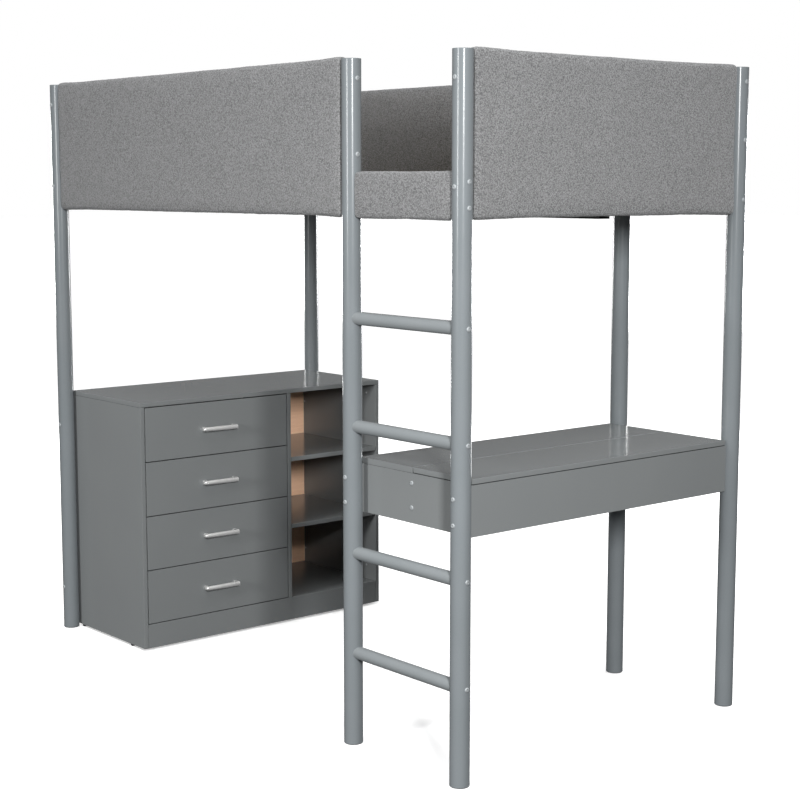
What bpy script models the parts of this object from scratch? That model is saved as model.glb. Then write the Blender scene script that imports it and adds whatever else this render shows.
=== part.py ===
"""Loft bed with a desk at the foot end and a drawer cabinet at the head end.

Metres, +Z up. The origin is on the floor, at the centre of the post rectangle.
+X runs along the bed towards the desk, and -Y is the side with the ladder.
"""
import math

import bmesh
import bpy
from mathutils import Vector

# ---------------------------------------------------------------- driving dimensions
POST_HEIGHT = 1.830
POST_RADIUS = 0.026
POST_WALL = 0.0015
POST_CAP = 0.003              # thickness of the closed top
POST_RIM = 0.0015             # eased edge of the top
POST_STEPS = 32
POST_PITCH_X = 1.993          # cabinet-end post centre to desk-end post centre
POST_PITCH_Y = 1.036          # front post centre to back post centre
LADDER_PITCH = 0.431          # middle post centre to desk-end post centre
FIT = 0.0003                  # gap between pieces that touch

RUNG_RADIUS = 0.0175
RUNG_WALL = 0.0015
RUNG_STEPS = 24
RUNG_SINK = 0.008             # how far a rung's blank runs into its posts before coping
SADDLE_HALF = 0.05            # half height of the cylinder that copes it
RUNG_HEIGHTS = (0.2555, 0.530, 0.872, 1.159)

GUARD_BOTTOM = 1.422
GUARD_TOP = 1.836
GUARD_THICKNESS = 0.036
GUARD_EDGE_RADIUS = 0.012
GUARD_EDGE_STEPS = 3
ENTRY_TOP = 1.539
ENTRY_THICKNESS = 0.031

SLAT_UNDERSIDE = 1.448
SLAT_COUNT = 13
SLAT_WIDTH = 0.062
SLAT_THICKNESS = 0.018
SLAT_LENGTH = 0.966
STRAP_WIDTH = 0.025
STRAP_THICKNESS = 0.0015
STRAP_Y = 0.36
SLAT_END_MARGIN = 0.025       # end guard to the first slat
RAIL_LEG = 0.040
RAIL_THICKNESS = 0.003
BEAM_WIDTH = 0.040
BEAM_HEIGHT = 0.030
BEAM_WALL = 0.0015

BOARD = 0.015                 # thickness of the cabinet and desk boards
BOARD_EDGE = 0.0008           # eased edge of a board
SHEET_EDGE = 0.0004           # eased edge of a thin back or floor

DESK_TOP_Z = 0.784
DESK_TOP_THICKNESS = 0.016
DESK_HALF_WIDTH = 0.487       # outer faces of the two side boards
APRON_BOTTOM = 0.636
APRON_CLEARANCE = 0.0008      # an apron's end to the round post
SEAM_X = 0.776                # joint between the fixed half and the lid
SEAM_GAP = 0.0036             # the hinge lies in it, just below the desktop
LID_GAP = 0.0018              # shadow gap under the lid
DESK_FLOOR_THICKNESS = 0.006
DESK_FLOOR_Z = 0.642

HINGE_LENGTH = 0.900
HINGE_KNUCKLES = 9
KNUCKLE_RADIUS = 0.0015
KNUCKLE_BORE = 0.0008
KNUCKLE_END_GAP = 0.0008
KNUCKLE_STEPS = 18
BORE_STEPS = 12
PIN_RADIUS = 0.0005
LEAF_THICKNESS = 0.0007
LEAF_HEIGHT = 0.0105
LEAF_DROP = 0.0006            # knuckle's underside to the plate
TAIL_TRIM = 0.00005           # keeps a knuckle's tail just inside the plate's faces
TAIL_OVERLAP = 0.0012         # how far the tail runs down in the plate
HINGE_DROP = 0.0002           # knuckle's top below the desktop

CABINET_FRONT_X = -0.563
CABINET_HALF_WIDTH = 0.4905
CABINET_FLOOR_GAP = 0.007
CABINET_TOP_Z = 0.814
PLINTH_TOP = 0.085
BACK_THICKNESS = 0.006
DIVIDER_Y = 0.0955            # middle of the divider
SHELF_TOPS = (0.577, 0.343)
DRAWER_COUNT = 4
FRONT_GAP = 0.003
BOX_WALL = 0.012
BOX_LENGTH = 0.385
BOX_RAISE = 0.014             # underside of a box over the bottom of its front
BOX_HEIGHT = 0.125
RUNNER_THICKNESS = 0.0122
RUNNER_HEIGHT = 0.040
RUNNER_LENGTH = 0.350
RUNNER_SHEET = 0.0012
RUNNER_SETBACK = 0.002        # drawer front to the runner's end
RUNNER_RAISE = 0.002          # box's underside to the runner's
BOX_PLAY = 0.0003             # more room at each side of a box

HANDLE_LENGTH = 0.126
HANDLE_HEIGHT = 0.013
HANDLE_DEPTH = 0.024
HANDLE_BAR = 0.009
HANDLE_LEG = 0.010
HANDLE_SHOULDER = 0.0055      # radius along its upper front edge

SMOOTH_UNDER = math.radians(32)   # edges that turn less than this are shaded as round

# ---------------------------------------------------------------- places worked out from them
END_X = POST_PITCH_X / 2
SIDE_Y = POST_PITCH_Y / 2
MIDDLE_X = END_X - LADDER_PITCH
CABINET_BACK_X = -END_X
SIDE_INNER_Y = CABINET_HALF_WIDTH - BOARD
DESK_TOP_UNDERSIDE = DESK_TOP_Z - DESK_TOP_THICKNESS
APRON_TOP = DESK_TOP_UNDERSIDE - FIT
HINGE_Z = DESK_TOP_Z - HINGE_DROP - KNUCKLE_RADIUS
POSTS = {
    "post_cabinet_front": (-END_X, -SIDE_Y),
    "post_cabinet_back": (-END_X, SIDE_Y),
    "post_middle_front": (MIDDLE_X, -SIDE_Y),
    "post_middle_back": (MIDDLE_X, SIDE_Y),
    "post_desk_front": (END_X, -SIDE_Y),
    "post_desk_back": (END_X, SIDE_Y),
}


# ---------------------------------------------------------------- scene and materials
def clear_scene():
    for old in list(bpy.data.objects):
        bpy.data.objects.remove(old, do_unlink=True)


def new_collection(name):
    made = bpy.data.collections.new(name)
    bpy.context.scene.collection.children.link(made)
    return made


def new_material(name, colour, roughness, metallic=0.0):
    made = bpy.data.materials.new(name)
    made.use_nodes = True
    shader = made.node_tree.nodes["Principled BSDF"]
    shader.inputs["Base Color"].default_value = (*colour, 1.0)
    shader.inputs["Roughness"].default_value = roughness
    shader.inputs["Metallic"].default_value = metallic
    made.diffuse_color = (*colour, 1.0)
    return made


clear_scene()
PARTS = new_collection("loft_bed_with_desk")
CUTTERS = new_collection("cutters")

FRAME_PAINT = new_material("frame_paint", (0.33, 0.37, 0.39), 0.32, 0.25)
FLEECE = new_material("fleece", (0.17, 0.175, 0.18), 0.95)
BOARD_PAINT = new_material("board_paint", (0.14, 0.15, 0.15), 0.38)
RAW_BACK = new_material("raw_back", (0.60, 0.40, 0.24), 0.60)
PINE = new_material("pine", (0.62, 0.47, 0.30), 0.65)
BOX_FOIL = new_material("box_foil", (0.55, 0.56, 0.56), 0.50)
ALUMINIUM = new_material("aluminium", (0.72, 0.72, 0.70), 0.30, 1.0)
ZINC = new_material("zinc", (0.60, 0.61, 0.62), 0.35, 1.0)
BLACK_STEEL = new_material("black_steel", (0.05, 0.05, 0.055), 0.45, 0.3)


# ---------------------------------------------------------------- making shapes
def add_object(name, mesh, material, location=(0.0, 0.0, 0.0), collection=None):
    made = bpy.data.objects.new(name, mesh)
    made.location = location
    (collection or PARTS).objects.link(made)
    if material:
        mesh.materials.append(material)
    return made


def cutter(name, mesh, location=(0.0, 0.0, 0.0)):
    made = add_object(name, mesh, None, location, CUTTERS)
    made.hide_render = True
    made.display_type = "WIRE"
    return made


def cuboid_mesh(name, size, centre=(0.0, 0.0, 0.0), drop=()):
    """A box mesh; drop names outward directions whose faces are left out."""
    shape = bmesh.new()
    bmesh.ops.create_cube(shape, size=1.0)
    bmesh.ops.scale(shape, vec=size, verts=shape.verts)
    open_sides = [Vector(d) for d in drop]
    gone = [f for f in shape.faces if any(f.normal.dot(d) > 0.9 for d in open_sides)]
    bmesh.ops.delete(shape, geom=gone, context="FACES_ONLY")
    bmesh.ops.translate(shape, vec=centre, verts=shape.verts)
    mesh = bpy.data.meshes.new(name)
    shape.to_mesh(mesh)
    shape.free()
    return mesh


def add_bevel(target, width, segments=1):
    rounding = target.modifiers.new("edges", "BEVEL")
    rounding.width = width
    rounding.segments = segments
    rounding.limit_method = "ANGLE"


def block(name, low, high, material, edge=BOARD_EDGE, segments=1):
    """A closed box between two corners, with rounded edges."""
    low, high = Vector(low), Vector(high)
    made = add_object(name, cuboid_mesh(name, high - low), material, (low + high) / 2)
    if edge:
        add_bevel(made, edge, segments)
    return made


def add_boolean(target, tool, operation):
    change = target.modifiers.new(operation.lower(), "BOOLEAN")
    change.operation = operation
    change.object = tool


def turned_mesh(name, profile, closed=False):
    """A profile of (radius, z) points, top to bottom on its outer side, turned about Z."""
    points = [(radius, 0.0, z) for radius, z in profile]
    edges = [(i, i + 1) for i in range(len(points) - 1)]
    if closed:
        edges.append((len(points) - 1, 0))
    mesh = bpy.data.meshes.new(name)
    mesh.from_pydata(points, edges, [])
    return mesh


def add_screw(target, steps):
    turn = target.modifiers.new("turn", "SCREW")
    turn.axis = "Z"
    turn.steps = steps
    turn.render_steps = steps
    turn.use_merge_vertices = True
    turn.merge_threshold = 0.00005
    turn.use_smooth_shade = False


def turned(name, profile, steps, material, location, closed=False, collection=None):
    made = add_object(name, turned_mesh(name, profile, closed), material, location, collection)
    add_screw(made, steps)
    return made


def baked(target):
    """Replace an object's mesh by its evaluated mesh, without its modifiers."""
    evaluated = target.evaluated_get(bpy.context.evaluated_depsgraph_get())
    mesh = bpy.data.meshes.new_from_object(evaluated)
    target.modifiers.clear()
    target.data = mesh


def prism_mesh(name, outlines, half_length):
    """Closed outlines in local XY, extruded both ways along local Z, as a welded mesh."""
    curve = bpy.data.curves.new(name, "CURVE")
    curve.dimensions = "2D"
    curve.fill_mode = "BOTH"
    curve.extrude = half_length
    for outline in outlines:
        spline = curve.splines.new("POLY")
        spline.points.add(len(outline) - 1)
        for point, (x, y) in zip(spline.points, outline):
            point.co = (x, y, 0.0, 1.0)
        spline.use_cyclic_u = True
    holder = bpy.data.objects.new(name + "_outline", curve)
    CUTTERS.objects.link(holder)
    bpy.context.view_layer.update()
    evaluated = holder.evaluated_get(bpy.context.evaluated_depsgraph_get())
    mesh = bpy.data.meshes.new_from_object(evaluated)
    bpy.data.objects.remove(holder, do_unlink=True)
    bpy.data.curves.remove(curve)
    shape = bmesh.new()
    shape.from_mesh(mesh)
    bmesh.ops.remove_doubles(shape, verts=shape.verts, dist=0.00001)
    bmesh.ops.recalc_face_normals(shape, faces=shape.faces)
    shape.to_mesh(mesh)
    shape.free()
    mesh.materials.clear()
    return mesh


def joined_mesh(name, meshes_and_places):
    """Several meshes copied to their places in one mesh."""
    whole = bmesh.new()
    for mesh, place in meshes_and_places:
        before = len(whole.verts)
        whole.from_mesh(mesh)
        whole.verts.ensure_lookup_table()
        bmesh.ops.translate(whole, vec=place, verts=whole.verts[before:])
    mesh = bpy.data.meshes.new(name)
    whole.to_mesh(mesh)
    whole.free()
    return mesh


def arc(radius, start, end, count, centre=(0.0, 0.0)):
    return [
        (centre[0] + radius * math.cos(start + (end - start) * i / (count - 1)),
         centre[1] + radius * math.sin(start + (end - start) * i / (count - 1)))
        for i in range(count)
    ]


def shade_round(target):
    target.data.shade_smooth()
    target.data.set_sharp_from_angle(angle=SMOOTH_UNDER)


# ---------------------------------------------------------------- frame
def make_posts():
    profile = [
        (0.0, POST_HEIGHT),
        (POST_RADIUS - POST_RIM, POST_HEIGHT),
        (POST_RADIUS, POST_HEIGHT - POST_RIM),
        (POST_RADIUS, 0.0),
        (POST_RADIUS - POST_WALL, 0.0),
        (POST_RADIUS - POST_WALL, POST_HEIGHT - POST_CAP),
        (0.0, POST_HEIGHT - POST_CAP),
    ]
    for name, (x, y) in POSTS.items():
        post = turned(name, profile, POST_STEPS, FRAME_PAINT, (x, y, 0.0))
        baked(post)
        shade_round(post)


def make_rungs():
    length = LADDER_PITCH - 2 * (POST_RADIUS - RUNG_SINK)
    saddle_radius = POST_RADIUS + FIT
    saddle_profile = [(0.0, SADDLE_HALF), (saddle_radius, SADDLE_HALF),
                      (saddle_radius, -SADDLE_HALF), (0.0, -SADDLE_HALF)]
    tube_profile = [(RUNG_RADIUS, length / 2), (RUNG_RADIUS, -length / 2),
                    (RUNG_RADIUS - RUNG_WALL, -length / 2), (RUNG_RADIUS - RUNG_WALL, length / 2)]
    for number, height in enumerate(RUNG_HEIGHTS, start=1):
        middle = ((MIDDLE_X + END_X) / 2, -SIDE_Y, height)
        rung = turned(f"rung_{number}", tube_profile, RUNG_STEPS, FRAME_PAINT, middle,
                      closed=True)
        rung.rotation_euler = (0.0, math.radians(90), 0.0)
        for side, x in (("left", MIDDLE_X), ("right", END_X)):
            saddle = turned(f"rung_{number}_{side}_saddle", saddle_profile, POST_STEPS, None,
                            (x, -SIDE_Y, height), collection=CUTTERS)
            saddle.hide_render = True
            saddle.display_type = "WIRE"
            add_boolean(rung, saddle, "DIFFERENCE")
        bpy.context.view_layer.update()
        baked(rung)
        shade_round(rung)


# ---------------------------------------------------------------- upholstered guards
def guard(name, along, start, end, across, bottom=GUARD_BOTTOM, top=GUARD_TOP,
          thickness=GUARD_THICKNESS):
    """A padded panel between two posts, along X or Y, centred on the line across."""
    first = start + POST_RADIUS + FIT
    last = end - POST_RADIUS - FIT
    near, far = across - thickness / 2, across + thickness / 2
    if along == "x":
        low, high = (first, near, bottom), (last, far, top)
    else:
        low, high = (near, first, bottom), (far, last, top)
    panel = block(name, low, high, FLEECE, GUARD_EDGE_RADIUS, GUARD_EDGE_STEPS)
    panel.data.shade_smooth()


def make_guards():
    guard("guard_front", "x", -END_X, MIDDLE_X, -SIDE_Y)
    guard("guard_back_long", "x", -END_X, MIDDLE_X, SIDE_Y)
    guard("guard_back_short", "x", MIDDLE_X, END_X, SIDE_Y)
    guard("guard_entry", "x", MIDDLE_X, END_X, -SIDE_Y, top=ENTRY_TOP, thickness=ENTRY_THICKNESS)
    guard("guard_cabinet_end", "y", -SIDE_Y, SIDE_Y, -END_X)
    guard("guard_desk_end", "y", -SIDE_Y, SIDE_Y, END_X)


# ---------------------------------------------------------------- mattress base
def make_base():
    inner_x = END_X - GUARD_THICKNESS / 2 - FIT
    rail_y = SIDE_Y - POST_RADIUS - FIT
    underside = SLAT_UNDERSIDE - FIT

    # An L section: one leg stands against the posts, the slats lie on the other.
    leg, sheet = RAIL_LEG, RAIL_THICKNESS
    section = [(0.0, 0.0), (leg, 0.0), (leg, sheet), (sheet, sheet), (sheet, leg), (0.0, leg)]
    for name, side in (("side_rail_front", -1), ("side_rail_back", 1)):
        outline = [(-side * x, y) for x, y in section]
        rail = add_object(name, prism_mesh(name, [outline], inner_x), BLACK_STEEL)
        rail.location = (0.0, side * rail_y, underside - RAIL_THICKNESS)
        rail.rotation_euler = (math.radians(90), 0.0, math.radians(90))

    tube = [(-BEAM_WIDTH / 2, -BEAM_HEIGHT / 2), (BEAM_WIDTH / 2, -BEAM_HEIGHT / 2),
            (BEAM_WIDTH / 2, BEAM_HEIGHT / 2), (-BEAM_WIDTH / 2, BEAM_HEIGHT / 2)]
    bore = [(x * (1 - 2 * BEAM_WALL / BEAM_WIDTH), y * (1 - 2 * BEAM_WALL / BEAM_HEIGHT))
            for x, y in tube]
    beam = add_object("centre_beam", prism_mesh("centre_beam", [tube, bore], inner_x), BLACK_STEEL)
    beam.location = (0.0, 0.0, underside - BEAM_HEIGHT / 2)
    beam.rotation_euler = (math.radians(90), 0.0, math.radians(90))

    # Slats on two webbing straps, which keep their spacing and roll up with them.
    span = 2 * (inner_x - SLAT_END_MARGIN) - SLAT_WIDTH
    pitch = span / (SLAT_COUNT - 1)
    slat = cuboid_mesh("slat", (SLAT_WIDTH, SLAT_LENGTH, SLAT_THICKNESS))
    places = [(slat, (-span / 2 + i * pitch, 0.0, 0.0)) for i in range(SLAT_COUNT)]
    slats = add_object("slat_roll", joined_mesh("slat_roll", places), PINE,
                       (0.0, 0.0, SLAT_UNDERSIDE + SLAT_THICKNESS / 2))
    sunk = STRAP_THICKNESS / 3
    strap = cuboid_mesh("strap", (span + SLAT_WIDTH / 2, STRAP_WIDTH, STRAP_THICKNESS))
    strap_z = SLAT_UNDERSIDE + sunk - STRAP_THICKNESS / 2
    pair = joined_mesh("straps", [(strap, (0.0, -STRAP_Y, 0.0)), (strap, (0.0, STRAP_Y, 0.0))])
    add_boolean(slats, cutter("straps", pair, (0.0, 0.0, strap_z)), "UNION")


# ---------------------------------------------------------------- desk
def make_desk_box():
    apron_y = SIDE_Y - POST_RADIUS - APRON_CLEARANCE
    for name, x in (("desk_apron_inner", MIDDLE_X), ("desk_apron_outer", END_X)):
        block(name, (x - BOARD / 2, -apron_y, APRON_BOTTOM), (x + BOARD / 2, apron_y, APRON_TOP),
              BOARD_PAINT)

    board_from = MIDDLE_X + BOARD / 2 + FIT
    board_to = END_X - BOARD / 2 - FIT
    inner_y = DESK_HALF_WIDTH - BOARD
    for name, low_y in (("desk_side_front", -DESK_HALF_WIDTH), ("desk_side_back", inner_y)):
        block(name, (board_from, low_y, APRON_BOTTOM), (board_to, low_y + BOARD, APRON_TOP),
              BOARD_PAINT)

    clear_y = inner_y - FIT
    block("desk_middle_board", (SEAM_X - BOARD / 2, -clear_y, APRON_BOTTOM),
          (SEAM_X + BOARD / 2, clear_y, APRON_TOP), BOARD_PAINT)
    block("desk_compartment_floor", (SEAM_X + BOARD / 2 + FIT, -clear_y, DESK_FLOOR_Z),
          (board_to - FIT, clear_y, DESK_FLOOR_Z + DESK_FLOOR_THICKNESS), BOX_FOIL, SHEET_EDGE)


def make_desktop():
    inner_edge = MIDDLE_X - BOARD / 2
    outer_edge = END_X + BOARD / 2
    half = DESK_HALF_WIDTH
    block("desk_top_fixed", (inner_edge, -half, DESK_TOP_UNDERSIDE),
          (SEAM_X - SEAM_GAP / 2, half, DESK_TOP_Z), BOARD_PAINT)

    turning = bpy.data.objects.new("desk_lid_axis", None)
    turning.location = (SEAM_X, 0.0, HINGE_Z)
    PARTS.objects.link(turning)
    bpy.context.view_layer.update()
    lid = block("desk_lid", (SEAM_X + SEAM_GAP / 2, -half, DESK_TOP_UNDERSIDE + LID_GAP),
                (outer_edge, half, DESK_TOP_Z), BOARD_PAINT)
    pieces = [lid, make_leaf("hinge_leaf_lid", 1)]
    for piece in pieces:
        piece.parent = turning
        piece.matrix_parent_inverse = turning.matrix_world.inverted()
    make_leaf("hinge_leaf_fixed", -1)
    make_hinge_pin()


def make_leaf(name, side):
    """One leaf of the long hinge, with every second knuckle; side is +1 on the lid."""
    outer = SEAM_GAP / 2 - FIT
    inner = outer - LEAF_THICKNESS
    plate_top = -KNUCKLE_RADIUS - LEAF_DROP
    plate = cuboid_mesh(name, (LEAF_THICKNESS, HINGE_LENGTH, LEAF_HEIGHT),
                        (side * (inner + outer) / 2, 0.0, plate_top - LEAF_HEIGHT / 2))
    leaf = add_object(name, plate, ZINC, (SEAM_X, 0.0, HINGE_Z))

    # A knuckle's section: most of a circle, with a tail that runs down into the plate.
    tail_outer, tail_inner = outer - TAIL_TRIM, inner + TAIL_TRIM
    reach = plate_top - TAIL_OVERLAP
    outline = arc(KNUCKLE_RADIUS, -math.acos(tail_outer / KNUCKLE_RADIUS),
                  math.tau - math.acos(tail_inner / KNUCKLE_RADIUS), KNUCKLE_STEPS)
    outline += [(tail_inner, reach), (tail_outer, reach)]
    outline = [(side * x, z) for x, z in outline]
    hole = arc(KNUCKLE_BORE, 0.0, math.tau * (1 - 1 / BORE_STEPS), BORE_STEPS)
    pitch = HINGE_LENGTH / HINGE_KNUCKLES
    section = prism_mesh(name + "_knuckle", [outline, hole], (pitch - KNUCKLE_END_GAP) / 2)
    turn = bmesh.new()
    turn.from_mesh(section)
    for vert in turn.verts:
        vert.co = (vert.co.x, vert.co.z, vert.co.y)
    bmesh.ops.recalc_face_normals(turn, faces=turn.faces)
    turn.to_mesh(section)
    turn.free()
    first = 0 if side < 0 else 1
    middles = [-HINGE_LENGTH / 2 + (i + 0.5) * pitch for i in range(first, HINGE_KNUCKLES, 2)]
    knuckles = joined_mesh(name + "_knuckles", [(section, (0.0, y, 0.0)) for y in middles])
    add_boolean(leaf, cutter(name + "_knuckles", knuckles, leaf.location), "UNION")
    bpy.context.view_layer.update()
    baked(leaf)
    return leaf


def make_hinge_pin():
    shape = bmesh.new()
    bmesh.ops.create_cone(shape, cap_ends=True, segments=BORE_STEPS, radius1=PIN_RADIUS,
                          radius2=PIN_RADIUS, depth=HINGE_LENGTH)
    mesh = bpy.data.meshes.new("hinge_pin")
    shape.to_mesh(mesh)
    shape.free()
    pin = add_object("hinge_pin", mesh, ZINC, (SEAM_X, 0.0, HINGE_Z))
    pin.rotation_euler = (math.radians(90), 0.0, 0.0)


# ---------------------------------------------------------------- cabinet
def make_cabinet():
    front, back = CABINET_FRONT_X, CABINET_BACK_X
    inside_back = back + BACK_THICKNESS + FIT
    top_underside = CABINET_TOP_Z - BOARD
    side_top = top_underside - FIT
    inner_y = SIDE_INNER_Y - FIT

    block("cabinet_top", (back, -CABINET_HALF_WIDTH, top_underside),
          (front, CABINET_HALF_WIDTH, CABINET_TOP_Z), BOARD_PAINT)
    for name, low_y in (("cabinet_side_front", -CABINET_HALF_WIDTH),
                        ("cabinet_side_back", SIDE_INNER_Y)):
        block(name, (back, low_y, CABINET_FLOOR_GAP), (front, low_y + BOARD, side_top), BOARD_PAINT)
    block("cabinet_back", (back, -inner_y, CABINET_FLOOR_GAP),
          (back + BACK_THICKNESS, inner_y, side_top), RAW_BACK, SHEET_EDGE)
    block("cabinet_plinth", (front - BOARD, -inner_y, CABINET_FLOOR_GAP),
          (front, inner_y, PLINTH_TOP), BOARD_PAINT)
    block("cabinet_bottom", (inside_back, -inner_y, PLINTH_TOP - BOARD),
          (front - BOARD - FIT, inner_y, PLINTH_TOP), BOARD_PAINT)
    block("cabinet_divider", (inside_back, DIVIDER_Y - BOARD / 2, PLINTH_TOP + FIT),
          (front, DIVIDER_Y + BOARD / 2, side_top), BOARD_PAINT)
    for number, top in enumerate(SHELF_TOPS, start=1):
        block(f"cabinet_shelf_{number}", (inside_back, DIVIDER_Y + BOARD / 2 + FIT, top - BOARD),
              (front, inner_y, top), BOARD_PAINT)


def make_runner(name, wall_y, inward, middle_z):
    """A C-shaped runner on a cabinet wall, open towards the drawer."""
    channel = cuboid_mesh(name, (RUNNER_LENGTH, RUNNER_THICKNESS, RUNNER_HEIGHT),
                          drop=[(0, inward, 0), (1, 0, 0), (-1, 0, 0)])
    x = CABINET_FRONT_X - BOARD - FIT - RUNNER_SETBACK - RUNNER_LENGTH / 2
    y = wall_y + inward * (FIT + RUNNER_THICKNESS / 2)
    runner = add_object(name, channel, ZINC, (x, y, middle_z))
    sheet = runner.modifiers.new("sheet", "SOLIDIFY")
    sheet.thickness = RUNNER_SHEET
    sheet.offset = -1.0
    sheet.use_even_offset = True


def make_handle(name, middle):
    """A bar handle: a rounded profile along Y, with a finger gap behind it."""
    depth, height = HANDLE_DEPTH, HANDLE_HEIGHT
    shoulder = (depth - HANDLE_SHOULDER, height / 2 - HANDLE_SHOULDER)
    outline = [(0.0, -height / 2), (depth, -height / 2), (depth, shoulder[1])]
    outline += arc(HANDLE_SHOULDER, 0.0, math.radians(90), 5, shoulder)[1:]
    outline.append((0.0, height / 2))
    mesh = prism_mesh(name, [outline], HANDLE_LENGTH / 2)
    handle = add_object(name, mesh, ALUMINIUM, middle)
    handle.rotation_euler = (math.radians(90), 0.0, 0.0)
    gap_depth = depth - HANDLE_BAR
    gap = cuboid_mesh(name + "_gap", (2 * gap_depth, HANDLE_LENGTH - 2 * HANDLE_LEG, 2 * height))
    add_boolean(handle, cutter(name + "_gap", gap, middle), "DIFFERENCE")
    bpy.context.view_layer.update()
    baked(handle)
    shade_round(handle)
    return handle


def make_drawers():
    left = -SIDE_INNER_Y
    right = DIVIDER_Y - BOARD / 2
    opening = CABINET_TOP_Z - BOARD - PLINTH_TOP
    front_height = (opening - (DRAWER_COUNT + 1) * FRONT_GAP) / DRAWER_COUNT
    front_back_x = CABINET_FRONT_X - BOARD
    side_room = RUNNER_THICKNESS + 2 * FIT + BOX_PLAY
    box_low_y, box_high_y = left + side_room, right - side_room
    for number in range(1, DRAWER_COUNT + 1):
        name = f"drawer_{number}"
        bottom = CABINET_TOP_Z - BOARD - number * (front_height + FRONT_GAP)
        middle_z = bottom + front_height / 2
        slide = bpy.data.objects.new(name + "_slide", None)
        slide.location = (CABINET_FRONT_X, (left + right) / 2, middle_z)
        PARTS.objects.link(slide)
        bpy.context.view_layer.update()

        front = block(name + "_front", (front_back_x, left + FRONT_GAP, bottom),
                      (CABINET_FRONT_X, right - FRONT_GAP, bottom + front_height), BOARD_PAINT)
        box_bottom = bottom + BOX_RAISE
        size = Vector((BOX_LENGTH, box_high_y - box_low_y, BOX_HEIGHT))
        box = add_object(name + "_box", cuboid_mesh(name + "_box", size, drop=[(0, 0, 1)]),
                         BOX_FOIL, (front_back_x - FIT - BOX_LENGTH / 2,
                                    (box_low_y + box_high_y) / 2, box_bottom + BOX_HEIGHT / 2))
        wall = box.modifiers.new("wall", "SOLIDIFY")
        wall.thickness = BOX_WALL
        wall.offset = -1.0
        wall.use_even_offset = True
        handle = make_handle(name + "_handle",
                             (CABINET_FRONT_X + FIT, (left + right) / 2, middle_z))
        for piece in (front, box, handle):
            piece.parent = slide
            piece.matrix_parent_inverse = slide.matrix_world.inverted()

        runner_z = box_bottom + RUNNER_HEIGHT / 2 + RUNNER_RAISE
        make_runner(name + "_runner_front", left, 1, runner_z)
        make_runner(name + "_runner_back", right, -1, runner_z)


make_posts()
make_rungs()
make_guards()
make_base()
make_desk_box()
make_desktop()
make_cabinet()
make_drawers()
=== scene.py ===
import math

import bmesh
import bpy
import numpy as np
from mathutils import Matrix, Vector, noise


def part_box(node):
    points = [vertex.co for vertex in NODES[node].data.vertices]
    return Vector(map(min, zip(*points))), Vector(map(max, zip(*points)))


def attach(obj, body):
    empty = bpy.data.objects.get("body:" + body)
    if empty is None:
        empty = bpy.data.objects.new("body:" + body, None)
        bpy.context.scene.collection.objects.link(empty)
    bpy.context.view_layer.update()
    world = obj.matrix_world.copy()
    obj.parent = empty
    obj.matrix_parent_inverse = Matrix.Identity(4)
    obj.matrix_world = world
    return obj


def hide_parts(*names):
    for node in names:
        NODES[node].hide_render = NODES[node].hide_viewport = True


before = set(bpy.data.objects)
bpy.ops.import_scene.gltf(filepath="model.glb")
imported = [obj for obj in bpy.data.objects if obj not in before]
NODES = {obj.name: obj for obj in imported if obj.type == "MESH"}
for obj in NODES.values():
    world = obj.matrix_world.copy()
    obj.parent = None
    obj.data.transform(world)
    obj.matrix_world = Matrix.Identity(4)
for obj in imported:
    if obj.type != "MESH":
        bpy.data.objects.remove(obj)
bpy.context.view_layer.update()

# ---------------------------------------------------------------- sizes, in metres
POST_RADIUS = 0.026
POST_WALL = 0.0015
POST_STEPS = 96
RUNG_RADIUS = 0.0175
FIT = 0.0003                     # gap between pieces that touch


def centre_of(node):
    low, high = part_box(node)
    return (low + high) / 2


POSTS = {name: centre_of(name) for name in sorted(NODES) if name.startswith("post_")}
RUNGS = sorted(name for name in NODES if name.startswith("rung_"))


# ---------------------------------------------------------------- material helpers
def new_material(name, **sockets):
    """A material with one Principled shader. The sockets given are constants."""
    material = bpy.data.materials.new(name)
    material.use_nodes = True
    tree = material.node_tree
    shader = tree.nodes["Principled BSDF"]
    for socket, value in sockets.items():
        shader.inputs[socket.replace("_", " ")].default_value = value
    return material, tree, shader


def add_node(tree, kind, inputs=(), **settings):
    """A node, its settings, and its inputs: a value, or a socket to link from."""
    node = tree.nodes.new("ShaderNode" + kind)
    for key, value in settings.items():
        setattr(node, key, value)
    for key, value in dict(inputs).items():
        if isinstance(value, bpy.types.NodeSocket):
            tree.links.new(value, node.inputs[key])
        else:
            node.inputs[key].default_value = value
    return node


def place(tree, scale=(1.0, 1.0, 1.0)):
    """The row frame's coordinates, stretched along an axis for a grain."""
    coordinates = add_node(tree, "TexCoord")
    mapping = add_node(tree, "Mapping", {"Vector": coordinates.outputs["Object"], "Scale": scale})
    return mapping.outputs["Vector"]


def noise_value(tree, where, scale, detail=2.0, roughness=0.5, distortion=0.0):
    node = add_node(tree, "TexNoise", {"Vector": where, "Scale": scale, "Detail": detail,
                                       "Roughness": roughness, "Distortion": distortion})
    return node.outputs["Fac"]


def ramp(tree, factor, stops):
    """A colour ramp from (position, grey or colour) stops."""
    node = add_node(tree, "ValToRGB", {"Fac": factor})
    elements = node.color_ramp.elements
    while len(elements) < len(stops):
        elements.new(0.5)
    for element, (position, colour) in zip(elements, stops):
        element.position = position
        element.color = (*colour, 1.0) if hasattr(colour, "__len__") else (colour,) * 3 + (1.0,)
    return node.outputs["Color"]


def spread(tree, factor, low, high):
    """A 0.25 to 0.75 noise spread over low to high, as one number."""
    node = add_node(tree, "MapRange", {"Value": factor, "From Min": 0.25, "From Max": 0.75,
                                       "To Min": low, "To Max": high})
    return node.outputs["Result"]


def combine(tree, operation, first, second):
    node = add_node(tree, "Math", operation=operation)
    for socket, value in zip(node.inputs, (first, second)):
        if isinstance(value, bpy.types.NodeSocket):
            tree.links.new(value, socket)
        else:
            socket.default_value = value
    return node.outputs[0]


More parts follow.
